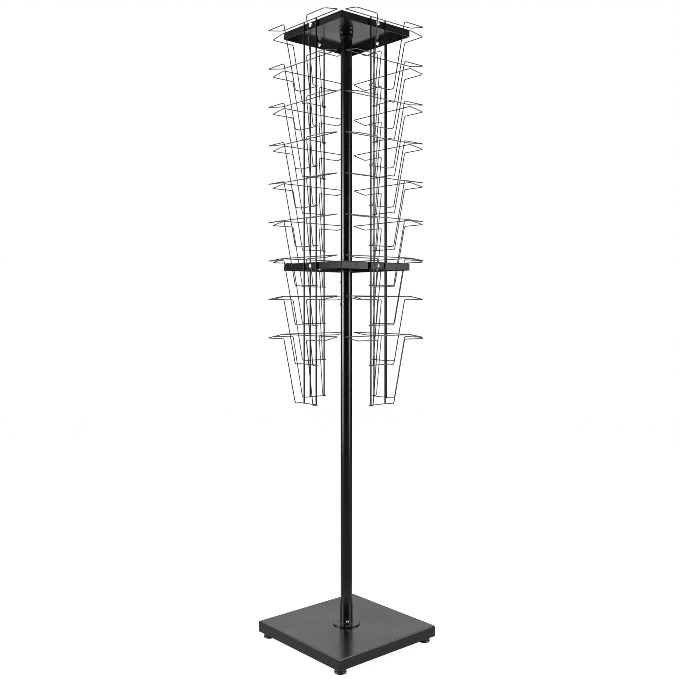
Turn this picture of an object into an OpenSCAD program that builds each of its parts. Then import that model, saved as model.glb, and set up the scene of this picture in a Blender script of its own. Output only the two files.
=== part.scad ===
// Floor standing magazine rack. A square base on levelling feet carries a round pole.
// A head of two square trays and four wire panels hangs on the pole's top and turns on it.
// Millimetres. Z is up, the origin is on the floor under the pole, and the front panel faces -Y.

/* [Base] */
// Side of the square base tray
base_side = 350; // [300:5:450]
// Depth of the base tray, from its top face to the edge of its skirt
base_depth = 29; // [26:1:45]
// Sheet thickness of the base tray
base_sheet = 2; // [1:0.25:2.5]
// Outer radius of the base tray's bent edges
base_bend = 3; // [3:0.5:6]
// Radius of the welded corners of the base and of the two trays
tray_corner = 1.5; // [1:0.25:3]
// Distance from a foot's axis to the two nearest edges of the base
foot_inset = 22; // [20:1:40]

/* [Levelling feet] */
// Gap between the floor and the base tray's skirt
floor_gap = 15; // [14:1:30]
// Diameter of a foot's pad
pad_d = 32; // [24:1:36]
// Height of a foot's pad
pad_h = 11; // [8:1:12]
// Diameter of a foot's threaded stud
stud_d = 8; // [6:1:10]
// Size across the flats of the hexagon that turns the stud
foot_hex = 13; // [11:1:16]

/* [Pole] */
// Outer diameter of the pole
pole_d = 32; // [28:1:40]
// Wall of the pole's two tubes
pole_wall = 1.5; // [1:0.25:3]
// Distance from the middle tray's top face down to the joint between the two tubes
joint_drop = 83; // [72:1:200]
// Length of the sleeve inside the joint
joint_sleeve = 130; // [100:5:180]
// Distance between the two screws of the joint
joint_screw_pitch = 63; // [50:1:80]
// Direction of the joint's screws, seen from above
joint_screw_turn = 225; // [180:5:270]

/* [Pole socket] */
// Diameter of the socket's flange
flange_d = 76; // [66:1:120]
// Thickness of the socket's flange
flange_t = 4; // [3:0.5:8]
// Wall of the socket's sleeve
socket_wall = 1.4; // [1.2:0.1:4]
// Height of the socket above the base, with its flange
socket_h = 70; // [50:1:110]
// Height of the socket's screw above the flange
socket_screw_rise = 6; // [5:0.5:20]
// Direction of the socket's screw, seen from above
socket_screw_turn = -30; // [-60:5:0]

/* [Trays of the head] */
// Side of the two square trays
tray_side = 250; // [220:5:300]
// Depth of a tray, from its top face to the edge of its skirt
tray_depth = 20; // [18:1:30]
// Sheet thickness of the trays
tray_sheet = 1.5; // [1:0.25:2]
// Outer radius of the trays' bent edges
tray_bend = 2.5; // [2.25:0.25:5]
// Height of the upper tray's top face above the floor
head_top = 1700; // [1650:1:1800]
// Distance between the top faces of the two trays
tray_pitch = 650; // [620:5:680]
// Outer diameter of the hub under each tray
hub_d = 38; // [37:0.5:44]
// Length of the hub under each tray's plate
hub_h = 19; // [17:0.5:30]

/* [Bearing] */
// Gap round the pole inside the two bushes
turn_gap = 0.3; // [0.2:0.05:0.6]
// Wall of the bearing cup and of the lower bush
bush_wall = 1.1; // [0.8:0.1:2]
// Thickness of the cup's roof, which turns on the pivot
cup_roof = 3; // [2:0.5:5]
// Height of the pivot's round nose
nose_h = 4; // [3:0.5:6]
// Thickness of the pivot's flange, on the pole's rim
pivot_flange = 3; // [2:0.5:5]
// Gap between the pivot's nose and the cup's roof
nose_gap = 0.2; // [0.1:0.05:0.4]

/* [Wire panels] */
// Diameter of the upright wires
upright_d = 4; // [3.5:0.25:6]
// Distance between the two uprights of a panel
upright_pitch = 52; // [46:1:60]
// Height of the uprights' ends above the upper tray
upright_rise = 3; // [2.5:0.5:8]
// Length of the uprights
upright_l = 1036; // [1020:1:1100]
// Thickness of the tab plates behind the uprights
tab_t = 2.5; // [2:0.5:4]
// Height of the tab plates
tab_h = 15; // [13:1:17]
// How deep the welded wires sink into each other
weld = 0.3; // [0.2:0.05:0.5]

/* [Pockets] */
// Number of pockets on each panel
levels = 9; // [9]
// Diameter of the pocket wire
wire_d = 2.5; // [2:0.25:4]
// Height from one pocket to the next
pocket_pitch = 106.2; // [100:0.1:107]
// Height of a pocket, from its floor wire to its back wire
pocket_h = 184; // [160:1:190]
// Length of the floor wire between its two bends
floor_w = 76; // [64:1:90]
// Reach of the pocket's floor in front of the uprights
floor_reach = 21; // [16:1:30]
// Distance between the two side wires at the collar
throat_w = 98; // [90:1:110]
// Length of the collar's back wire
back_w = 238; // [220:1:240]
// Distance between the outer corners of the collar's front
front_w = 244; // [220:1:246]
// Reach of the collar in front of the uprights
collar_reach = 51.5; // [40:0.5:54]
// How much lower the collar's front lies than its back wire
collar_drop = 9; // [0:0.5:14]
// Radius of the wire's bends, to its middle line
bend_r = 5; // [4:0.5:7]

/* [Fasteners] */
// Thread diameter of the bolts that hold the panels
bolt_d = 6; // [5:0.5:6.5]
// Diameter of the bolts' heads
bolt_head_d = 11.5; // [10:0.5:13]
// Height of the bolts' heads
bolt_head_h = 3.6; // [2.5:0.1:5]
// Size across the flats of the panels' nuts
nut_af = 10; // [9:0.5:11]
// Thread diameter of the small screws
screw_d = 5; // [4:0.5:6]
// Diameter of the heads of the pan screws in the pole and its socket
screw_head_d = 8; // [7:0.5:10]
// Height of the heads of the pan screws
screw_head_h = 3; // [2:0.5:4]

/* [Clearances] */
// Gap round a bolt in a drilled hole
hole_gap = 0.3; // [0.2:0.1:0.5]
// Gap between two tubes that are pushed together
tube_gap = 0.1; // [0.05:0.05:0.2]
// Radial depth of a thread
thread_depth = 0.4; // [0.3:0.1:0.5]

/* [Hidden] */
$fn = 64;
CUT = 1;
SIDES = ["front", "right", "back", "left"];
FEET = ["front_left_foot", "front_right_foot", "back_right_foot", "back_left_foot"];

// Places in the base
base_top = floor_gap + base_depth;
foot_place = base_side / 2 - foot_inset;
gusset_t = 3;
gusset_z = floor_gap + gusset_t;
gusset_past_stud = 14;
gusset_w = foot_inset - base_sheet + gusset_past_stud;
gusset_cut = 0.3 * gusset_w;
foot_nut_h = 6.5;
foot_nut_af = stud_d + 5;
stud_headroom = 5;
stud_top = base_top - base_sheet - stud_headroom;
foot_hex_h = 3;
turn_clear = 0.3;
inner_corner = 0.5;

// The pole stands on the base, inside the socket, and carries the pivot
pole_r = pole_d / 2;
pole_bore_r = pole_r - pole_wall;
plate_z = head_top - tray_sheet;
nose_z = plate_z - cup_roof - nose_gap;
pole_top = nose_z - nose_h - pivot_flange;
pole_joint = head_top - tray_pitch - joint_drop;
pole_chamfer = 0.6;
sleeve_wall = 2;
head_sink = 0.15;
flange_chamfer = 0.8;
plug_l = 25;
nose_r = 9;
socket_bore_r = pole_r + 2 * tube_gap;
socket_r = socket_bore_r + socket_wall;
socket_screw_z = base_top + flange_t + socket_screw_rise;

// Bushes in the hubs
hub_r = hub_d / 2;
bush_bore_r = pole_r + turn_gap;
bush_r = bush_bore_r + bush_wall;
hub_bore_r = bush_r + tube_gap;
lip_t = 2;
lip_out = 1.5;
lip_r = hub_r + lip_out;
hub_screw_drop = 5;
screw_stand_out = 2;
screw_key = screw_d / 2;
screw_key_deep = 2;
screw_tip_in = 2;
cup_grip = 0.2;

// Wire panels: the uprights lie in one plane, the pockets are welded on its outer side
face_y = tray_side / 2;
upright_y = face_y + tab_t + upright_d / 2;
upright_top = head_top + upright_rise;
tab_past_wire = 2;
tab_w = upright_pitch + upright_d + 2 * tab_past_wire;
tab_drop = tray_depth / 2;
wire_r = wire_d / 2;
weld_reach = upright_d / 2 + wire_r - weld;
wire_below_end = 0.25;
first_level_z = upright_top - wire_r - wire_below_end;
nut_t = 5;
bolt_tip_out = 2;
bolt_l = tab_t + tray_sheet + nut_t + bolt_tip_out;

// Sheet metal tray with its open side down: a plate, four bent skirts and welded corners
module square_plan(side, corner) {
    square([side - 2 * corner, side], center = true);
    square([side, side - 2 * corner], center = true);
    for (x = [-1, 1], y = [-1, 1])
        translate([x * (side / 2 - corner), y * (side / 2 - corner)]) circle(corner);
}

module bent_profile(side, depth, bend) {
    translate([-side / 2, -depth - CUT]) square([side, depth + CUT - bend]);
    translate([bend - side / 2, -depth]) square([side - 2 * bend, depth]);
    for (x = [-1, 1])
        translate([x * (side / 2 - bend), -bend]) circle(bend);
}

module tray_block(side, depth, bend, corner) {
    intersection() {
        rotate([90, 0, 0]) linear_extrude(side, center = true) bent_profile(side, depth, bend);
        rotate([90, 0, 90]) linear_extrude(side, center = true) bent_profile(side, depth, bend);
        translate([0, 0, -depth]) linear_extrude(depth) square_plan(side, corner);
    }
}

module tray(side, depth, sheet, bend) {
    difference() {
        tray_block(side, depth, bend, tray_corner);
        translate([0, 0, -sheet]) tray_block(side - 2 * sheet, depth + CUT, bend - sheet, inner_corner);
    }
}

module hexagon(across_flats, height) {
    cylinder(h = height, r = across_flats / sqrt(3), $fn = 6);
}

// Places its children on each side of the head, facing outwards
module on_side(side) {
    rotate([0, 0, 90 * search([side], SIDES)[0]]) children();
}

// Base: tray, corner gussets with nuts, feet
module base_tray() {
    color("#2b2d2f") translate([0, 0, base_top]) tray(base_side, base_depth, base_sheet, base_bend);
}

module at_feet() {
    for (turn = [0, 90, 180, 270])
        rotate([0, 0, turn]) translate([-foot_place, -foot_place, 0]) children();
}

// A gusset is welded into each corner of the base, with a nut on it for the foot's stud
module foot_nuts() {
    inner_place = foot_inset - base_sheet;
    color("#8d9092") at_feet() difference() {
        union() {
            translate([-inner_place, -inner_place, gusset_z]) linear_extrude(gusset_t) polygon([
                [0, 0], [gusset_w, 0], [gusset_w, gusset_w - gusset_cut],
                [gusset_w - gusset_cut, gusset_w], [0, gusset_w]]);
            translate([0, 0, gusset_z + gusset_t]) hexagon(foot_nut_af, foot_nut_h);
        }
        translate([0, 0, gusset_z - CUT])
            cylinder(h = gusset_t + foot_nut_h + 2 * CUT, r = stud_d / 2 + turn_clear);
    }
}

// Plastic pad moulded round the head of a steel stud, with a hexagon to turn it
module foot() {
    pad_r = pad_d / 2;
    drum_r = 0.93 * pad_r;
    round_over = pad_h / 8;
    lip_h = pad_h / 3;
    color("#1b1b1c") {
        rotate_extrude() polygon([
            [0, 0], [pad_r - round_over, 0], [pad_r, round_over], [pad_r, lip_h],
            [drum_r, lip_h + round_over], [drum_r, pad_h - round_over], [drum_r - round_over, pad_h],
            [0, pad_h]]);
        translate([0, 0, pad_h]) hexagon(foot_hex, foot_hex_h);
        translate([0, 0, pad_h]) cylinder(h = stud_top - pad_h, r = stud_d / 2);
    }
}

module one_foot(index) {
    rotate([0, 0, 90 * index]) translate([-foot_place, -foot_place, 0]) foot();
}

// Socket: a flange with a bevelled rim and a sleeve, welded together and to the base
module pole_socket() {
    flange_r = flange_d / 2;
    color("#202224") difference() {
        translate([0, 0, base_top]) rotate_extrude() polygon([
            [socket_bore_r, 0], [flange_r, 0], [flange_r, flange_t - flange_chamfer],
            [flange_r - flange_chamfer, flange_t], [socket_r, flange_t], [socket_r, socket_h],
            [socket_bore_r, socket_h]]);
        socket_screw_hole(screw_d / 2 + hole_gap);
    }
}

// The screw goes through the sleeve with clearance, and its thread holds in the pole's wall
module at_socket_screw() {
    rotate([0, 0, socket_screw_turn]) translate([0, 0, socket_screw_z]) children();
}

module socket_screw_hole(hole_r) {
    at_socket_screw() rotate([0, 90, 0]) cylinder(h = socket_r + CUT, r = hole_r);
}

module socket_screw() {
    color("#d9dadb") at_socket_screw() pan_screw(pole_bore_r - screw_tip_in, socket_r);
}

// Pan screw that points at the axis, from its tip out to its head's seat
module pan_screw(tip_r, seat_r) {
    rotate([0, 90, 0]) {
        translate([0, 0, tip_r]) cylinder(h = seat_r - tip_r + screw_head_h / 3, r = screw_d / 2);
        translate([0, 0, seat_r - head_sink]) domed_head(screw_head_d, screw_head_h);
    }
}

// Pole: two tubes, joined by a sleeve inside and two screws
module joint_holes(hole_r) {
    for (z = [-1, 1] * joint_screw_pitch / 2)
        rotate([0, 0, joint_screw_turn]) translate([0, 0, pole_joint + z])
            rotate([0, 90, 0]) cylinder(h = pole_d, r = hole_r);
}

// Each tube is cut square, and its ends are bevelled outside, so that the joint shows as a fine groove
module pole_tube(length) {
    rotate_extrude() polygon([
        [pole_bore_r, 0], [pole_r - pole_chamfer, 0], [pole_r, pole_chamfer],
        [pole_r, length - pole_chamfer], [pole_r - pole_chamfer, length], [pole_bore_r, length]]);
}

module lower_pole() {
    color("#202224") difference() {
        translate([0, 0, base_top]) pole_tube(pole_joint - base_top);
        joint_holes(screw_d / 2 + hole_gap);
        socket_screw_hole(screw_d / 2 - thread_depth);
    }
}

module upper_pole() {
    color("#202224") difference() {
        translate([0, 0, pole_joint]) pole_tube(pole_top - pole_joint);
        joint_holes(screw_d / 2 + hole_gap);
    }
}

module joint_sleeve() {
    sleeve_r = pole_bore_r - tube_gap;
    color("#8d9092") difference() {
        translate([0, 0, pole_joint]) cylinder(h = joint_sleeve, r = sleeve_r, center = true);
        translate([0, 0, pole_joint])
            cylinder(h = joint_sleeve + 2 * CUT, r = sleeve_r - sleeve_wall, center = true);
        joint_holes(screw_d / 2 - thread_depth);
    }
}

module joint_screws() {
    color("#d9dadb") for (z = [-1, 1] * joint_screw_pitch / 2)
        rotate([0, 0, joint_screw_turn]) translate([0, 0, pole_joint + z])
            pan_screw(pole_bore_r - tube_gap - sleeve_wall - screw_tip_in, pole_r);
}

// Head of a pan screw: a short rim under a round crown
module domed_head(diameter, height) {
    rim = height / 3;
    crown = height - rim;
    crown_r = (pow(diameter / 2, 2) + crown * crown) / (2 * crown);
    intersection() {
        cylinder(h = height, r = diameter / 2);
        translate([0, 0, height - crown_r]) sphere(crown_r);
    }
}

// Pivot: a turned steel plug in the pole's top, with a round nose that carries the head
module pivot_plug() {
    color("#b9bcbe") {
        translate([0, 0, pole_top - plug_l]) cylinder(h = plug_l, r = pole_bore_r - tube_gap);
        translate([0, 0, pole_top]) cylinder(h = pivot_flange, r = pole_r);
        translate([0, 0, pole_top + pivot_flange]) intersection() {
            cylinder(h = nose_h, r = nose_r);
            translate([0, 0, nose_h - nose_r]) sphere(nose_r);
        }
    }
}

// Nylon cup in the upper hub: its roof sits on the pivot, its wall runs round the pole
module bearing_cup() {
    color("#262728") difference() {
        translate([0, 0, plate_z - hub_h]) cylinder(h = hub_h, r = bush_r);
        translate([0, 0, plate_z - hub_h - CUT]) cylinder(h = hub_h - cup_roof + CUT, r = bush_bore_r);
    }
}

// Nylon bush in the lower hub, with a lip under it
module middle_bush() {
    low = head_top - tray_pitch - tray_sheet - hub_h;
    color("#262728") difference() {
        union() {
            translate([0, 0, low]) cylinder(h = hub_h + tray_sheet, r = bush_r);
            translate([0, 0, low - lip_t]) cylinder(h = lip_t, r = lip_r);
        }
        translate([0, 0, low - lip_t - CUT])
            cylinder(h = hub_h + tray_sheet + lip_t + 2 * CUT, r = bush_bore_r);
    }
}

// Trays of the head, each with a welded hub and four bolt holes
module head_tray(with_hole) {
    difference() {
        union() {
            tray(tray_side, tray_depth, tray_sheet, tray_bend);
            translate([0, 0, -tray_sheet - hub_h]) cylinder(h = hub_h + tray_sheet / 2, r = hub_r);
        }
        translate([0, 0, -tray_sheet - hub_h - CUT])
            cylinder(h = hub_h + CUT + (with_hole ? tray_sheet + CUT : 0), r = hub_bore_r);
        for (turn = [0, 90, 180, 270])
            rotate([0, 0, turn]) translate([0, 0, -tab_drop]) rotate([90, 0, 0])
                translate([0, 0, face_y - 2 * tray_sheet])
                    cylinder(h = 3 * tray_sheet, r = bolt_d / 2 + hole_gap);
    }
}

module top_tray() {
    color("#2b2d2f") translate([0, 0, head_top]) difference() {
        head_tray(false);
        at_hub_screws() rotate([0, 90, 0]) cylinder(h = hub_r + CUT, r = screw_d / 2 - thread_depth);
    }
}

module middle_tray() {
    color("#2b2d2f") translate([0, 0, head_top - tray_pitch]) head_tray(true);
}

// Two screws in the upper hub, towards the front and the right, hold the bearing cup
module at_hub_screws() {
    for (turn = [-90, 0])
        rotate([0, 0, turn]) translate([0, 0, -tray_sheet - hub_screw_drop]) children();
}

module grub_screw(tip_r, end_r) {
    translate([tip_r, 0, 0]) rotate([0, 90, 0]) difference() {
        cylinder(h = end_r - tip_r, r = screw_d / 2);
        translate([0, 0, end_r - tip_r - screw_key_deep]) hexagon(screw_key, screw_key_deep + CUT);
    }
}

module hub_screws() {
    color("#d9dadb") translate([0, 0, head_top]) at_hub_screws()
        grub_screw(bush_r - cup_grip, hub_r + screw_stand_out);
}

// Uprights of one panel, with a tab plate welded behind them at each tray
module uprights(side) {
    color("#202224") on_side(side) {
        for (x = [-1, 1] * upright_pitch / 2)
            translate([x, -upright_y, upright_top - upright_l]) cylinder(h = upright_l, r = upright_d / 2);
        for (z = [head_top, head_top - tray_pitch])
            translate([0, -face_y, z - tab_drop]) rotate([90, 0, 0]) difference() {
                translate([-tab_w / 2, -tab_h / 2, 0]) cube([tab_w, tab_h, tab_t + weld]);
                translate([0, 0, -CUT]) cylinder(h = tab_t + weld + 2 * CUT, r = bolt_d / 2 + hole_gap);
            }
    }
}

// Eight bolts go in through the tabs and skirts, with nuts behind
module at_bolts() {
    for (side = SIDES, z = [head_top, head_top - tray_pitch])
        on_side(side) translate([0, -face_y - tab_t - weld, z - tab_drop]) rotate([90, 0, 0]) children();
}

module panel_bolts() {
    color("#d9dadb") at_bolts() {
        translate([0, 0, -bolt_l]) cylinder(h = bolt_l + bolt_head_h / 3, r = bolt_d / 2);
        domed_head(bolt_head_d, bolt_head_h);
    }
}

module panel_nuts() {
    color("#c4c6c8") at_bolts() translate([0, 0, -weld - tab_t - tray_sheet - nut_t]) difference() {
        hexagon(nut_af, nut_t);
        translate([0, 0, -CUT]) cylinder(h = nut_t + 2 * CUT, r = bolt_d / 2 - thread_depth);
    }
}

// Pocket: one wire bent into a closed loop. Its middle line is given by ten corners, as sideways,
// outwards from the uprights, and up from the back wire. The collar slopes down to the front.
function unit(v) = v / norm(v);
function collar_z(out) = -collar_drop * (out - weld_reach) / (collar_reach - weld_reach);
right_corners = [
    [floor_w / 2, weld_reach, -pocket_h],
    [floor_w / 2, floor_reach, -pocket_h],
    [throat_w / 2, collar_reach, collar_z(collar_reach)],
    [front_w / 2, collar_reach, collar_z(collar_reach)],
    [back_w / 2, weld_reach, 0]];
left_corners = [for (i = [4 : -1 : 0]) [-right_corners[i].x, right_corners[i].y, right_corners[i].z]];
loop_corners = concat(right_corners, left_corners);

// Each corner becomes an arc of bend_r, as three rings of points across the wire
BEND_STEPS = 2;
WIRE_SIDES = 6;
ACROSS = unit([1, 1.3, 0.8]);

function arc_ring(before, corner, after, step) =
    let (to_before = unit(before - corner), to_after = unit(after - corner),
         turn = 180 - acos(to_before * to_after),
         middle = unit(to_before + to_after),
         centre = corner + middle * bend_r / cos(turn / 2),
         angle = turn * (step / BEND_STEPS - 0.5),
         ahead = unit(to_after - to_before),
         point = centre + bend_r * (sin(angle) * ahead - cos(angle) * middle),
         along = cos(angle) * ahead + sin(angle) * middle,
         a = unit(cross(along, ACROSS)), b = cross(along, a))
    [for (s = [0 : WIRE_SIDES - 1])
        point + wire_r * (cos(360 * s / WIRE_SIDES) * a + sin(360 * s / WIRE_SIDES) * b)];

function loop_points(corners) = [
    for (i = [0 : len(corners) - 1], step = [0 : BEND_STEPS])
        each arc_ring(corners[(i + len(corners) - 1) % len(corners)], corners[i],
                      corners[(i + 1) % len(corners)], step)];

function loop_faces(rings) = [
    for (r = [0 : rings - 1], s = [0 : WIRE_SIDES - 1])
        let (next_r = (r + 1) % rings, next_s = (s + 1) % WIRE_SIDES,
             p = r * WIRE_SIDES + s, q = r * WIRE_SIDES + next_s,
             u = next_r * WIRE_SIDES + s, v = next_r * WIRE_SIDES + next_s)
        each [[p, u, v], [p, v, q]]];

module pocket(side, level) {
    color("#202224") on_side(side)
        translate([0, -upright_y, first_level_z - (level - 1) * pocket_pitch]) mirror([0, 1, 0])
            polyhedron(loop_points(loop_corners), loop_faces(len(loop_corners) * (BEND_STEPS + 1)));
}

base_tray();
foot_nuts();
for (i = [0 : 3])
    one_foot(i);
pole_socket();
socket_screw();
lower_pole();
upper_pole();
joint_sleeve();
joint_screws();
pivot_plug();
bearing_cup();
top_tray();
hub_screws();
middle_tray();
middle_bush();
for (side = SIDES)
    uprights(side);
panel_bolts();
panel_nuts();
for (side = SIDES, level = [1 : levels])
    pocket(side, level);
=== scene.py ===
# A floor standing magazine rack: a square base with four levelling feet, a round pole in two lengths, and a
# turning head of two trays and four wire panels with nine pockets each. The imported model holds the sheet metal,
# tubes and bushes. This script gives them their finishes and makes the round wires, screws, nuts and feet in full.
import math

import bpy
from mathutils import Matrix, Vector


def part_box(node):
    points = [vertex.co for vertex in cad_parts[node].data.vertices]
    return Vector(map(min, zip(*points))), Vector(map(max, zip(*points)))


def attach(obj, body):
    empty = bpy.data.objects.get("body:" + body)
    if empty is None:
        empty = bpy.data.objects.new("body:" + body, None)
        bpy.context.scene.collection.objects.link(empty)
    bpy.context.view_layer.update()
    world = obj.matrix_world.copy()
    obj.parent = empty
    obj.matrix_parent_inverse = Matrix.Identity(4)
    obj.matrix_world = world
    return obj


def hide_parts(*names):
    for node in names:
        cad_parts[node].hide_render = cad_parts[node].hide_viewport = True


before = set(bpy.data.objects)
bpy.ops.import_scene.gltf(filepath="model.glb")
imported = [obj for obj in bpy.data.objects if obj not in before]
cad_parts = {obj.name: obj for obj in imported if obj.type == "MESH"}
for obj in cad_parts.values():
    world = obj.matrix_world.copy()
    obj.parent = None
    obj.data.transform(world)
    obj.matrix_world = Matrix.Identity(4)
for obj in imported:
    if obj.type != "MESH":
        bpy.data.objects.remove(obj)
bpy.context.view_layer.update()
MM = 0.001

# BASE TRAY
# A 2 mm mild steel sheet, folded down on four sides, degreased and powder coated black after welding.
# The baked coat gives a very deep black with a soft mirror, and an orange peel that breaks reflections up.
def linear(srgb_hex):
    """An sRGB hex colour as linear red, green, blue and alpha."""
    parts = [int(srgb_hex[i:i + 2], 16) / 255 for i in (1, 3, 5)]
    return [p / 12.92 if p <= 0.04045 else ((p + 0.055) / 1.055) ** 2.4 for p in parts] + [1.0]


def add(tree, kind, sockets={}, **settings):
    """A new node with its settings. A socket takes a value, or the output that feeds it."""
    node = tree.nodes.new(kind)
    for name, value in settings.items():
        setattr(node, name, value)
    for name, value in sockets.items():
        if isinstance(value, bpy.types.NodeSocket):
            tree.links.new(value, node.inputs[name])
        else:
            node.inputs[name].default_value = value
    return node


def new_finish(name):
    """An empty material, its node tree, and where on the object a point lies."""
    finish = bpy.data.materials.new(name)
    finish.use_nodes = True
    finish.node_tree.nodes.clear()
    place = add(finish.node_tree, "ShaderNodeTexCoord").outputs["Object"]
    return finish, finish.node_tree, place


def powder_coat(name, peel_mm, shade, speck_shade, smooth, rough, shine):
    # Orange peel is 1 to 2 mm across and a few microns high. It is drawn 30 microns high, so that it shows. The
    # coat's softness changes over a hand's width, and lumps of powder leave specks that are a little lighter.
    finish, tree, place = new_finish(name)
    peel = add(tree, "ShaderNodeTexNoise", {"Vector": place, "Scale": 1 / (peel_mm * MM), "Detail": 2.0})
    cloud = add(tree, "ShaderNodeTexNoise", {"Vector": place, "Scale": 1 / (90 * MM), "Detail": 3.0})
    speck = add(tree, "ShaderNodeTexNoise", {"Vector": place, "Scale": 1 / (0.7 * MM), "Detail": 1.0})
    dark = add(tree, "ShaderNodeMix", {"Factor": speck.outputs[0], "A": linear(shade), "B": linear(speck_shade)},
               data_type="RGBA")
    soft = add(tree, "ShaderNodeMapRange", {"Value": cloud.outputs[0], "From Min": 0.3, "From Max": 0.7,
                                            "To Min": smooth, "To Max": rough})
    bump = add(tree, "ShaderNodeBump", {"Height": peel.outputs[0], "Strength": 0.5, "Distance": 0.03 * MM})
    coat = add(tree, "ShaderNodeBsdfPrincipled", {"Base Color": dark.outputs[2], "Roughness": soft.outputs[0],
                                                  "Normal": bump.outputs[0], "IOR": 1.5,
                                                  "Specular IOR Level": shine})
    add(tree, "ShaderNodeOutputMaterial", {"Surface": coat.outputs[0]})
    return finish


def dress(node, finish):
    """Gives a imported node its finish. Its mesh and place stay as they are."""
    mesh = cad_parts[node].data
    mesh.materials.clear()
    mesh.materials.append(finish)


base_coat = powder_coat("black_powder_coat_on_base", 2.2, "#050506", "#0c0c0d", 0.18, 0.24, 0.5)
dress("base_tray", base_coat)
base_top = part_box("base_tray")[1].z

# LEVELLING FEET
# A black polypropylene pad is moulded round the head of a zinc plated M8 stud. A hexagon above the pad takes a
# 13 mm spanner. Each stud screws up through a nut on the gusset in its corner of the base.
def zinc_plate(name, hex_cool, hex_warm, grit_mm, smooth, rough):
    # Bright zinc with a clear passivate: a cool grey metal, patched with faint straw and blue. The plating's
    # crystals are far finer than the grit here, which is as coarse as it needs to be to show close up.
    finish, tree, place = new_finish(name)
    patch = add(tree, "ShaderNodeTexNoise", {"Vector": place, "Scale": 1 / (6 * MM), "Detail": 2.0})
    grit = add(tree, "ShaderNodeTexNoise", {"Vector": place, "Scale": 1 / (grit_mm * MM), "Detail": 3.0})
    tint = add(tree, "ShaderNodeMix", {"Factor": patch.outputs[0], "A": linear(hex_cool), "B": linear(hex_warm)},
               data_type="RGBA")
    shine = add(tree, "ShaderNodeMapRange", {"Value": grit.outputs[0], "From Min": 0.3, "From Max": 0.7,
                                             "To Min": smooth, "To Max": rough})
    bump = add(tree, "ShaderNodeBump", {"Height": grit.outputs[0], "Strength": 0.4, "Distance": 0.02 * MM})
    metal = add(tree, "ShaderNodeBsdfPrincipled", {"Base Color": tint.outputs[2], "Roughness": shine.outputs[0],
                                                   "Normal": bump.outputs[0], "Metallic": 1.0})
    add(tree, "ShaderNodeOutputMaterial", {"Surface": metal.outputs[0]})
    return finish


def moulded_plastic(name, shade, grain_mm, smooth, rough):
    # A moulding has the fine spark grain of its tool, which softens the shine a little from place to place.
    finish, tree, place = new_finish(name)
    grain = add(tree, "ShaderNodeTexNoise", {"Vector": place, "Scale": 1 / (grain_mm * MM), "Detail": 2.0})
    shine = add(tree, "ShaderNodeMapRange", {"Value": grain.outputs[0], "From Min": 0.3, "From Max": 0.7,
                                             "To Min": smooth, "To Max": rough})
    bump = add(tree, "ShaderNodeBump", {"Height": grain.outputs[0], "Strength": 0.3, "Distance": 0.02 * MM})
    body = add(tree, "ShaderNodeBsdfPrincipled", {"Base Color": linear(shade), "Roughness": shine.outputs[0],
                                                  "Normal": bump.outputs[0], "IOR": 1.49})
    add(tree, "ShaderNodeOutputMaterial", {"Surface": body.outputs[0]})
    return finish


def turned(profile, segments=48):
    """Corners and faces of a turned piece. profile lists (radius, height) in mm; radius 0 closes an end."""
    corners, faces, rings = [], [], []
    for radius, height in profile:
        rings.append(len(corners))
        spots = 1 if radius == 0 else segments
        corners += [Vector((radius * math.cos(t), radius * math.sin(t), height)) * MM
                    for t in (2 * math.pi * s / segments for s in range(spots))]
    for (low, (r_low, _)), (high, (r_high, _)) in zip(zip(rings, profile), zip(rings[1:], profile[1:])):
        for s in range(segments):
            n = (s + 1) % segments
            ends = [low + (s if r_low else 0), low + (n if r_low else 0),
                    high + (n if r_high else 0), high + (s if r_high else 0)]
            faces.append(list(dict.fromkeys(ends)))
    return corners, faces


def spanner_hexagon(flats, low, high, bore, segments=96):
    """A hexagon with its corners chamfered at both ends, from low to high, in mm, round a bore."""
    chamfer_r = flats / 2 * 0.97
    corners, faces = [], []
    for s in range(segments):
        t = 2 * math.pi * s / segments
        to_flat = (t + math.pi / 6) % (math.pi / 3) - math.pi / 6
        edge = flats / 2 / math.cos(to_flat)
        drop = max(0.0, edge - chamfer_r) * 0.58
        for radius, height in ((bore, low), (chamfer_r, low), (edge, low + drop),
                               (edge, high - drop), (chamfer_r, high), (bore, high)):
            corners.append(Vector((radius * math.cos(t), radius * math.sin(t), height)) * MM)
    for s in range(segments):
        n = (s + 1) % segments
        for k in range(6):
            m = (k + 1) % 6
            faces.append([6 * s + k, 6 * n + k, 6 * n + m, 6 * s + m])
    return corners, faces


def screw_thread(radius, low, high, pitch, segments=24, rows_a_turn=6):
    """A threaded rod from low to high, in mm, with its crests at radius and a chamfered end at high."""
    rows = math.ceil((high - low) / pitch * rows_a_turn)
    profile_depth = 0.54 * pitch
    corners, faces = [], []
    for row in range(rows + 1):
        height = low + (high - low) * row / rows
        for s in range(segments):
            turn = (height / pitch - s / segments) % 1
            dip = profile_depth * min(1.0, max(0.0, 2.6 * abs(turn - 0.5) - 0.15))
            end = min(1.0, (high - height) / (1.2 * profile_depth))
            here = radius - max(dip, profile_depth * (1 - end))
            t = 2 * math.pi * s / segments
            corners.append(Vector((here * math.cos(t), here * math.sin(t), height)) * MM)
    for row in range(rows):
        for s in range(segments):
            n = (s + 1) % segments
            a, b = row * segments, (row + 1) * segments
            faces.append([a + s, a + n, b + n, b + s])
    faces.append([rows * segments + s for s in range(segments)])
    faces.append([segments - 1 - s for s in range(segments)])
    return corners, faces


def joined(shapes):
    """Several (corners, faces) as one."""
    corners, faces = [], []
    for more_corners, more_faces in shapes:
        start = len(corners)
        corners += more_corners
        faces += [[start + i for i in face] for face in more_faces]
    return corners, faces


def moved(shape, place):
    """A shape's corners moved by a matrix."""
    corners, faces = shape
    return [place @ c for c in corners], faces


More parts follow.
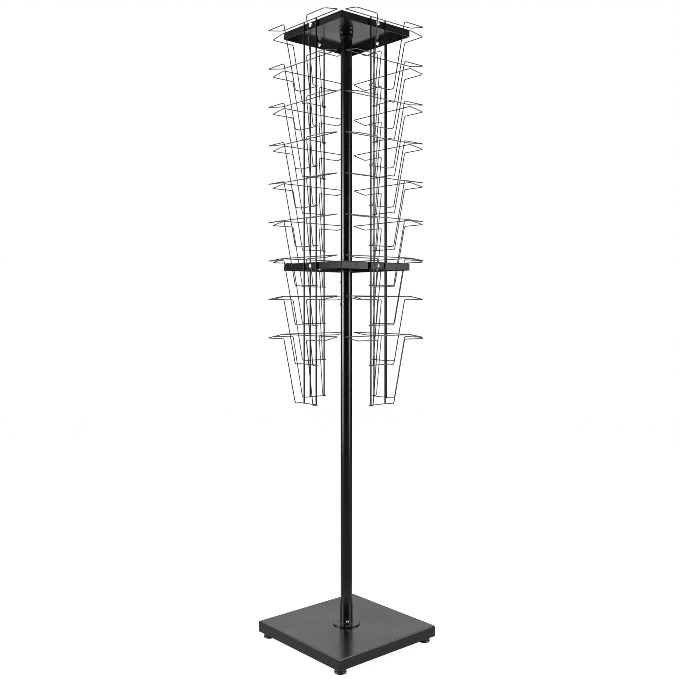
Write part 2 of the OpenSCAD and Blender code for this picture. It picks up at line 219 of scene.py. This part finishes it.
def fit_piece(name, shape, finish, body, nodes=(), second=None):
    """Makes the piece, gives it its finish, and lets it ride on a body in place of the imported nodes.
    second is a finish for the faces from a given number on."""
    corners, faces = shape
    mesh = bpy.data.meshes.new(name)
    mesh.from_pydata(corners, [], faces)
    mesh.materials.append(finish)
    if second:
        mesh.materials.append(second[0])
        for i in range(second[1], len(mesh.polygons)):
            mesh.polygons[i].material_index = 1
    mesh.polygons.foreach_set("use_smooth", [True] * len(mesh.polygons))
    mesh.set_sharp_from_angle(angle=math.radians(32))
    piece = bpy.data.objects.new(name, mesh)
    bpy.context.scene.collection.objects.link(piece)
    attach(piece, body)
    if nodes:
        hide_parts(*nodes)
    return piece


pad_plastic = moulded_plastic("black_moulded_polypropylene", "#0e0e0f", 0.6, 0.22, 0.34)
bright_zinc = zinc_plate("bright_zinc_plated_steel", "#eef0f3", "#f2efe6", 0.5, 0.46, 0.58)
dull_zinc = zinc_plate("dull_zinc_plated_steel", "#a9adb1", "#b3afa4", 1.2, 0.3, 0.45)
PAD_TOP = 11
PAD = [(0, 0), (14.4, 0), (15.4, 0.4), (16, 1.3), (16, 3.2), (15.8, 3.9), (15.3, 4.5), (14.9, 5), (14.9, 9.4),
       (14.6, 10.2), (14, 10.7), (13.2, PAD_TOP), (0, PAD_TOP)]
SPANNER, HEXAGON_H = 13, 3
STUD_R, STUD_PITCH = 4, 1.25
for foot in ("front_left_foot", "front_right_foot", "back_right_foot", "back_left_foot"):
    low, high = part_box(foot)
    where = Matrix.Translation(((low.x + high.x) / 2, (low.y + high.y) / 2, 0))
    pad = turned(PAD)
    metal = joined([spanner_hexagon(SPANNER, PAD_TOP, PAD_TOP + HEXAGON_H, STUD_R - 0.1),
                    screw_thread(STUD_R, PAD_TOP - 0.5, high.z / MM, STUD_PITCH)])
    fit_piece(foot + "_pad_and_stud", moved(joined([pad, metal]), where), pad_plastic, foot,
              [foot], (bright_zinc, len(pad[1])))
dress("foot_nuts", dull_zinc)

# POLE SOCKET
# A round flange and a short sleeve, welded to each other and to the base, and coated with it. A bead runs round
# the sleeve's foot. A duller zinc plated pan screw with a cross recess goes through the sleeve into the pole.
def weld_bead(radius, height, leg, ripple, segments=160):
    """A round bead that fills the corner between a tube of that radius and a plate, rippled as it was laid. Its
    section is given in shares of the leg, which is negative for a bead that hangs below its plate."""
    corners, faces = [], []
    up = 1 if leg > 0 else -1
    leg = abs(leg)
    for s in range(segments):
        t = 2 * math.pi * s / segments
        swell = leg * (1 + ripple * math.sin(2 * math.pi * s / 5))
        for out, rise in ((-0.4, -0.4), (1.0, -0.4), (0.95, 0.25), (0.62, 0.62), (0.25, 0.95), (-0.4, 1.0)):
            reach = radius + out * swell
            corners.append(Vector((reach * math.cos(t), reach * math.sin(t), height + up * rise * swell)) * MM)
    for s in range(segments):
        n = (s + 1) % segments
        for k in range(6):
            m = (k + 1) % 6
            faces.append([6 * s + k, 6 * n + k, 6 * n + m, 6 * s + m][::up])
    return corners, faces


def hollowed(shape, cutters):
    """The shape with the cutters taken out of it."""
    pieces = []
    for corners, faces in [shape] + cutters:
        mesh = bpy.data.meshes.new("blank")
        mesh.from_pydata(corners, [], faces)
        piece = bpy.data.objects.new("blank", mesh)
        bpy.context.scene.collection.objects.link(piece)
        pieces.append(piece)
    for cutter in pieces[1:]:
        cut = pieces[0].modifiers.new("cut", "BOOLEAN")
        cut.object, cut.operation, cut.solver = cutter, "DIFFERENCE", "EXACT"
    cut_mesh = pieces[0].evaluated_get(bpy.context.evaluated_depsgraph_get()).to_mesh()
    result = ([v.co.copy() for v in cut_mesh.vertices], [list(p.vertices) for p in cut_mesh.polygons])
    for piece in pieces:
        bpy.data.objects.remove(piece)
    return result


def pan_head(diameter, height):
    """A pan head on its seat at height 0, with a cross recess for a driver, in mm."""
    r = diameter / 2
    rim = [(0, 0), (r - 0.3, 0), (r, 0.3), (r, 0.3 * height)]
    crown = [(r * math.cos(t), height * (0.3 + 0.7 * math.sin(t))) for t in
             (math.radians(a) for a in (15, 30, 45, 60, 72, 82))]
    wing, thick, deep = 0.27 * diameter, 0.055 * diameter, 0.3 * height
    slots = []
    for x, y in ((wing, thick), (thick, wing)):
        shape = [Vector((sx * x * k, sy * y * k, z)) * MM for k, z in ((0.45, deep), (1.1, height * 1.1))
                 for sx, sy in ((-1, -1), (1, -1), (1, 1), (-1, 1))]
        slots.append((shape, [[3, 2, 1, 0], [4, 5, 6, 7]] + [[i, (i + 1) % 4, (i + 1) % 4 + 4, i + 4]
                                                            for i in range(4)]))
    return hollowed(turned(rim + crown + [(0, height)]), slots)


SCREW_HEAD_W, SCREW_HEAD_H, SCREW_R, SCREW_PITCH = 8, 3, 2.5, 0.8
SEAT_SINK = 0.15


def pan_screw(tube_r, tip_r, turn_deg, height):
    """A pan screw that points at the pole's axis. Its flat seat beds a little into a tube of radius tube_r, and
    its tip ends tip_r mm from the axis."""
    seat_r = tube_r - SEAT_SINK
    out = (Matrix.Translation((0, 0, height)) @ Matrix.Rotation(math.radians(turn_deg), 4, "Z")
           @ Matrix.Rotation(math.pi / 2, 4, "Y") @ Matrix.Translation((0, 0, seat_r * MM)))
    shank = moved(screw_thread(SCREW_R, 0, seat_r - tip_r, SCREW_PITCH), Matrix.Rotation(math.pi, 4, "X"))
    return joined([moved(pan_head(SCREW_HEAD_W, SCREW_HEAD_H), out), moved(shank, out)])


tube_coat = powder_coat("black_powder_coat_on_tube", 1.8, "#050506", "#0b0b0c", 0.17, 0.23, 0.5)
for node in ("lower_pole", "upper_pole"):
    dress(node, tube_coat)
dress("pole_socket", base_coat)
SLEEVE_R, FLANGE_T, BEAD_LEG = 17.6, 4, 1.8
socket_bead = weld_bead(SLEEVE_R, base_top / MM + FLANGE_T, BEAD_LEG, 0.08)
fit_piece("socket_weld", socket_bead, base_coat, "stand")
low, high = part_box("socket_screw")
socket_screw = pan_screw(SLEEVE_R, 12.5, -30, (low.z + high.z) / 2)
fit_piece("socket_screw_with_recess", socket_screw, dull_zinc, "stand", ["socket_screw"])

# POLE
# Two lengths of 32 mm steel tube meet end to end over a zinc plated sleeve. Two more pan screws go through the
# tubes into the sleeve. A turned steel plug with a round nose closes the top.
POLE_R, SCREWS_APART = 16, 63
low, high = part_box("joint_screws")
joint_z = (low.z + high.z) / 2
joint_screws = joined([pan_screw(POLE_R, 10.4, 225, joint_z + end * SCREWS_APART / 2 * MM) for end in (-1, 1)])
fit_piece("joint_screws_with_recess", joint_screws, bright_zinc, "stand", ["joint_screws"])
dress("joint_sleeve", dull_zinc)
dress("pivot_plug", bright_zinc)

# TRAYS AND BUSHES
# Two 1.5 mm trays, folded and coated like the base, with a short hub welded under each. Black nylon bushes sit
# in the hubs: a cup that rests on the plug's nose, held by two grub screws, and an open bush with a lip.
tray_coat = powder_coat("black_powder_coat_on_trays", 2.2, "#050506", "#0c0c0d", 0.2, 0.27, 0.155)
TRAY_SHEET, HUB_R = 1.5, 19
for node in ("top_tray", "middle_tray"):
    dress(node, tray_coat)
    plate_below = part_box(node)[1].z / MM - TRAY_SHEET
    hub_bead = weld_bead(HUB_R - 0.1, plate_below, -BEAD_LEG, 0.1)
    fit_piece(node + "_hub_weld", hub_bead, tray_coat, "head")
nylon = moulded_plastic("black_nylon", "#131314", 0.8, 0.36, 0.5)
dress("bearing_cup", nylon)
dress("middle_bush", nylon)
dress("hub_screws", dull_zinc)

# UPRIGHTS
# Two 4 mm mild steel wires carry each panel's pockets, with a 2.5 mm tab plate spot welded behind them at each
# tray. They hang in the oven with the trays, so they have the same black coat.
SIDES = ("front", "right", "back", "left")
for side in SIDES:
    dress(side + "_uprights", tray_coat)

# BOLTS AND NUTS
# One M6 pan head bolt holds each tab to its tray's skirt, with a hexagon nut inside. Both are mild steel, headed
# and threaded cold, and then plated with bright zinc.
def facing(side, out_mm, height):
    """A place on a side of the head whose own height points outwards from the pole."""
    return (Matrix.Rotation(math.radians(90 * SIDES.index(side)), 4, "Z")
            @ Matrix.Translation((0, -out_mm * MM, height)) @ Matrix.Rotation(math.pi / 2, 4, "X"))


# Sizes run inwards from the tab's outer face: through the tab, the tray's skirt and the nut.
TAB_FACE, TAB_T, WELD_SINK, NUT_T = 127.8, 2.5, 0.3, 5
HALF_SKIRT = 10
bolt_head = pan_head(11.5, 3.6)
bolt_shank = moved(screw_thread(3, 0, 11, 1), Matrix.Rotation(math.pi, 4, "X"))
nut_face = -(WELD_SINK + TAB_T + TRAY_SHEET)
hex_nut = spanner_hexagon(10, nut_face - NUT_T, nut_face, 2.5)
tray_heights = [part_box(node)[1].z - HALF_SKIRT * MM for node in ("top_tray", "middle_tray")]
bolts, nuts = [], []
for side in SIDES:
    for height in tray_heights:
        seat = facing(side, TAB_FACE, height)
        bolts += [moved(bolt_head, seat), moved(bolt_shank, seat)]
        nuts.append(moved(hex_nut, seat))
fit_piece("panel_bolts_with_recess", joined(bolts), bright_zinc, "head", ["panel_bolts"])
fit_piece("panel_hex_nuts", joined(nuts), bright_zinc, "head", ["panel_nuts"])

# POCKETS
# Each pocket is one 2.5 mm wire, bent into a closed loop: two short floor arms, two wires that rise and spread,
# and a wide collar that slopes down to the front. It is resistance welded to both uprights, top and bottom.
def bent_wire(corners, bend, steps=6):
    """The middle line of a closed wire as (point, direction), with an arc at each corner."""
    line = []
    for i, corner in enumerate(corners):
        before = (corners[i - 1] - corner).normalized()
        after = (corners[(i + 1) % len(corners)] - corner).normalized()
        turn = math.pi - before.angle(after)
        middle = (before + after).normalized()
        ahead = (after - before).normalized()
        centre = corner + middle * bend / math.cos(turn / 2)
        for step in range(steps + 1):
            a = turn * (step / steps - 0.5)
            line.append((centre + bend * (math.sin(a) * ahead - math.cos(a) * middle),
                         math.cos(a) * ahead + math.sin(a) * middle))
    return line


def round_wire(line, radius, sides=12):
    """The skin of a closed wire along a line."""
    corners, faces = [], []
    for point, along in line:
        a = along.cross(Vector((1, 1.3, 0.8))).normalized()
        b = along.cross(a)
        corners += [point + radius * (math.cos(t) * a + math.sin(t) * b)
                    for t in (2 * math.pi * s / sides for s in range(sides))]
    for r in range(len(line)):
        n = (r + 1) % len(line)
        for s in range(sides):
            m = (s + 1) % sides
            faces.append([r * sides + s, r * sides + m, n * sides + m, n * sides + s])
    return corners, faces


def weld_nugget(x, y, z):
    """The flattened lump where two crossing wires have sunk into each other: a ball of 1 mm radius, stretched."""
    ball = turned([(0, -1)] + [(math.cos(t), math.sin(t)) for t in
                               (math.radians(a) for a in (-60, -30, 0, 30, 60))] + [(0, 1)], 12)
    stretch = Matrix.Diagonal((2.0, 1.1, 1.7, 1))
    return moved(ball, Matrix.Translation(Vector((x, y, z)) * MM) @ stretch)


wire_coat = powder_coat("black_powder_coat_on_wire", 1.2, "#050506", "#0b0b0c", 0.2, 0.27, 0.6)
# Each corner of the loop is given as mm to the side, out from the uprights' middle line, and up from the collar's
# back wire. The right half is mirrored for the left.
WIRE_R, BEND_R = 1.25, 5
WELD_OUT, FRONT_OUT = 2.95, 51.5
FLOOR_UP, FRONT_UP = -184, -9
CORNERS = [(38, WELD_OUT, FLOOR_UP), (38, 21, FLOOR_UP), (49, FRONT_OUT, FRONT_UP), (122, FRONT_OUT, FRONT_UP),
           (119, WELD_OUT, 0)]
CORNERS += [(-u, out, up) for u, out, up in CORNERS[::-1]]
loop = round_wire(bent_wire([Vector((u, -out, up)) * MM for u, out, up in CORNERS], BEND_R * MM), WIRE_R * MM)
UPRIGHT_OFFSET, UPRIGHT_OUT = 26, 129.5
welds = [weld_nugget(u, -1.95, up) for u in (-UPRIGHT_OFFSET, UPRIGHT_OFFSET) for up in (FLOOR_UP, 0)]
pocket_shape = joined([loop] + welds)
LEVELS, PITCH, BELOW_TOP = 9, 106.2, 1.5
panel_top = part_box("front_uprights")[1].z
for turn, side in enumerate(SIDES):
    for level in range(LEVELS):
        place = (Matrix.Rotation(math.radians(90 * turn), 4, "Z")
                 @ Matrix.Translation((0, -UPRIGHT_OUT * MM, panel_top - (BELOW_TOP + level * PITCH) * MM)))
        name = f"{side}_pocket_{level + 1}"
        fit_piece(name + "_wire", moved(pocket_shape, place), wire_coat, "head", [name])

# STUDIO
# A pale floor in a pale room, lit by two tall soft boxes and a small one overhead. The coat mirrors what stands
# round it, so a black band runs round the room at eye level, and the ceiling is dimmer on the camera's side.
VIEW_TURN = math.radians(49)
away = Vector((-math.sin(VIEW_TURN), math.cos(VIEW_TURN), 0))
to_right = Vector((math.cos(VIEW_TURN), math.sin(VIEW_TURN), 0))

room = bpy.data.worlds.new("white_room")
room.use_nodes = True
tree = room.node_tree
tree.nodes.clear()
heading = add(tree, "ShaderNodeTexCoord").outputs["Generated"]
rise = add(tree, "ShaderNodeVectorMath", {0: heading, 1: (0, 0, 1)}, operation="DOT_PRODUCT")
back = add(tree, "ShaderNodeVectorMath", {0: heading, 1: away}, operation="DOT_PRODUCT")
BAND = 0.02
ceiling = add(tree, "ShaderNodeMapRange", {"Value": back.outputs["Value"], "From Min": -0.4, "From Max": 0.2,
                                           "To Min": 0.45, "To Max": 1.22}, interpolation_type="SMOOTHSTEP")
above = add(tree, "ShaderNodeMapRange", {"Value": rise.outputs["Value"], "From Min": 0.285, "From Max": 0.315,
                                         "To Min": BAND, "To Max": ceiling.outputs[0]},
            interpolation_type="SMOOTHSTEP")
below = add(tree, "ShaderNodeMapRange", {"Value": rise.outputs["Value"], "From Min": -0.29, "From Max": -0.25,
                                         "To Min": 2.0, "To Max": BAND}, interpolation_type="SMOOTHSTEP")
wall = add(tree, "ShaderNodeMath", {0: above.outputs[0], 1: below.outputs[0]}, operation="MAXIMUM")
# A mirroring coat meets the banded wall, a matt one an even grey, and the camera plain white.
ray = add(tree, "ShaderNodeLightPath")
met = add(tree, "ShaderNodeMix", {"Factor": ray.outputs["Is Glossy Ray"], "A": 0.45, "B": wall.outputs[0]})
seen = add(tree, "ShaderNodeMix", {"Factor": ray.outputs["Is Camera Ray"], "A": met.outputs[0], "B": 1.0})
light = add(tree, "ShaderNodeBackground", {"Color": [1, 1, 1, 1], "Strength": seen.outputs[0]})
add(tree, "ShaderNodeOutputWorld", {"Surface": light.outputs[0]})
bpy.context.scene.world = room

floor_shape = turned([(0, 0), (300, 0), (1200, 0), (6000, 0)], 96)
floor_mesh = bpy.data.meshes.new("floor")
floor_mesh.from_pydata([c - Vector((0, 0, 0.2 * MM)) for c in floor_shape[0]], [], floor_shape[1])
floor = bpy.data.objects.new("floor", floor_mesh)
bpy.context.scene.collection.objects.link(floor)
floor_finish, tree, place = new_finish("pale_studio_floor")
# The matt paper is given a painted glow, so that it runs into the white room with a faint shadow left under the
# base.
# In the coat's reflections the glow is a painted pool of light, pale near the base and dark further out, and past
# a few metres it fades away.
GLOW_SHARE = 0.85
spread = add(tree, "ShaderNodeVectorMath", {0: place}, operation="LENGTH")
rim = add(tree, "ShaderNodeMapRange", {"Value": spread.outputs["Value"], "From Min": 2.0, "From Max": 5.5,
                                       "To Min": 0.0, "To Max": 1.0}, interpolation_type="SMOOTHSTEP")
# A painted pool of light round the base, seen only in reflections: bright within 0.3 m of the pole, dim past 0.6
# m.
painted_light_pool = add(tree, "ShaderNodeMapRange", {"Value": spread.outputs["Value"], "From Min": 0.3, "From Max": 0.6,
                                         "To Min": 0.48, "To Max": 0.07}, interpolation_type="SMOOTHSTEP")
ray = add(tree, "ShaderNodeLightPath")
strength = add(tree, "ShaderNodeMix", {"Factor": ray.outputs["Is Camera Ray"], "A": painted_light_pool.outputs[0], "B": 1.09})
glowing = add(tree, "ShaderNodeMath", {0: ray.outputs["Is Camera Ray"], 1: ray.outputs["Is Glossy Ray"]},
              operation="MAXIMUM")
share = add(tree, "ShaderNodeMath", {0: glowing.outputs[0], 1: GLOW_SHARE}, operation="MULTIPLY")
glow = add(tree, "ShaderNodeEmission", {"Color": [1, 1, 1, 1], "Strength": strength.outputs[0]})
matt = add(tree, "ShaderNodeBsdfDiffuse", {"Color": linear("#f4f4f4")})
lit = add(tree, "ShaderNodeMixShader", {0: share.outputs[0], 1: matt.outputs[0], 2: glow.outputs[0]})
clear = add(tree, "ShaderNodeBsdfTransparent")
faded = add(tree, "ShaderNodeMixShader", {0: rim.outputs[0], 1: lit.outputs[0], 2: clear.outputs[0]})
add(tree, "ShaderNodeOutputMaterial", {"Surface": faded.outputs[0]})
floor_mesh.materials.append(floor_finish)


def soft_box(name, place, back, wide, tall, watts):
    """A soft box at that place. back is the way its back points, and the camera doesn't see it."""
    lamp = bpy.data.lights.new(name, "AREA")
    lamp.shape, lamp.size, lamp.size_y, lamp.energy = "RECTANGLE", wide, tall, watts
    box = bpy.data.objects.new(name, lamp)
    box.location = place
    box.rotation_euler = back.to_track_quat("Z", "Y").to_euler()
    box.visible_camera = False
    bpy.context.scene.collection.objects.link(box)


# Each tall soft box is brighter in its middle, so it is drawn as a wide dim panel with a smaller bright one. A row
# gives its angle from the camera's side, its width, its lower and upper edge in metres, and its power.
LAMP_AWAY = 2.0
for name, angle, wide, low, high, watts in (("left_soft_box", -75, 1.3, 0.25, 1.95, 29),
                                            ("left_soft_box_middle", -73, 1.07, 0.63, 1.55, 31),
                                            ("right_soft_box", 70, 1.4, 0.2, 1.8, 21),
                                            ("right_soft_box_middle", 69, 1.2, 0.6, 1.4, 14.5)):
    a = math.radians(angle)
    outwards = (math.sin(a) * to_right - math.cos(a) * away) * LAMP_AWAY
    soft_box(name, outwards + Vector((0, 0, (low + high) / 2)), outwards, wide, high - low, watts)
# The small one overhead lights the tops of the wires and bends.
soft_box("overhead_soft_box", Vector((0, 0, 2.7)), Vector((0, 0, 1)), 0.5, 0.5, 28)

# The lens looks level from a little above half height. The shifts put the rack where it stands in the picture.
CAMERA_AWAY, CAMERA_UP = 2.37, 0.939
camera = bpy.data.objects.new("camera", bpy.data.cameras.new("camera"))
camera.location = -CAMERA_AWAY * away + Vector((0, 0, CAMERA_UP))
camera.rotation_euler = (math.pi / 2, 0, VIEW_TURN)
camera.data.sensor_width = 36
camera.data.lens = 44.91
camera.data.shift_x = -0.0101
camera.data.shift_y = -0.0534
bpy.context.scene.collection.objects.link(camera)
bpy.context.scene.camera = camera
bpy.context.scene.view_settings.view_transform = "Standard"
bpy.context.scene.cycles.filter_width = 0.7
